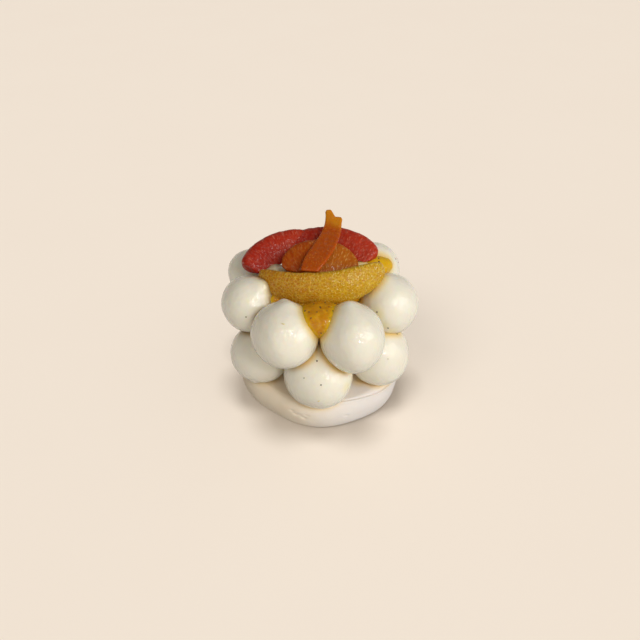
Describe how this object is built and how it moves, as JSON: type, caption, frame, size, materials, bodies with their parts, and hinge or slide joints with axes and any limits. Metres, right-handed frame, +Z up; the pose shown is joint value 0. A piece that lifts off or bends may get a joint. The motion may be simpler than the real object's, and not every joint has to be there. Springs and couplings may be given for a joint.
{
  "type": "individual pavlova",
  "caption": "Individual pavlova: a round meringue under two tiers of piped vanilla cream, with citrus gel, peeled citrus segments and a strip of candied peel on top.",
  "frame": {"origin": "middle of the flat underside of the meringue", "axes": "+Z up; -Y towards the front, where the gel runs down between two dollops of cream; +X to the right seen from the front"},
  "size_m": [0.0871, 0.0902, 0.0791],
  "materials": {
    "meringue": "dry, smooth baked meringue, pinkish white",
    "cream": "soft whipped vanilla cream with a moist sheen and a few vanilla seeds",
    "gel": "wet, clear amber gel with vanilla seeds",
    "yellow_citrus": "wet juice sacs, golden yellow",
    "orange_citrus": "wet juice sacs, brownish orange",
    "ruby_citrus": "wet juice sacs, ruby red",
    "candied_peel": "glossy, half clear candied peel"
  },
  "bodies": {
    "root": {"meringue_base": "meringue", "cream_lower_1": "cream", "cream_lower_2": "cream", "cream_lower_3": "cream", "cream_lower_4": "cream", "cream_lower_5": "cream", "cream_lower_6": "cream", "cream_upper_1": "cream", "cream_upper_2": "cream", "cream_upper_3": "cream", "cream_upper_4": "cream", "cream_upper_5": "cream", "cream_upper_6": "cream", "cream_upper_7": "cream", "cream_core": "cream", "citrus_gel": "gel", "yellow_segment": "yellow_citrus", "orange_segment": "orange_citrus", "ruby_segment_left": "ruby_citrus", "ruby_segment_right": "ruby_citrus", "candied_peel": "candied_peel"}
  },
  "joints": []
}
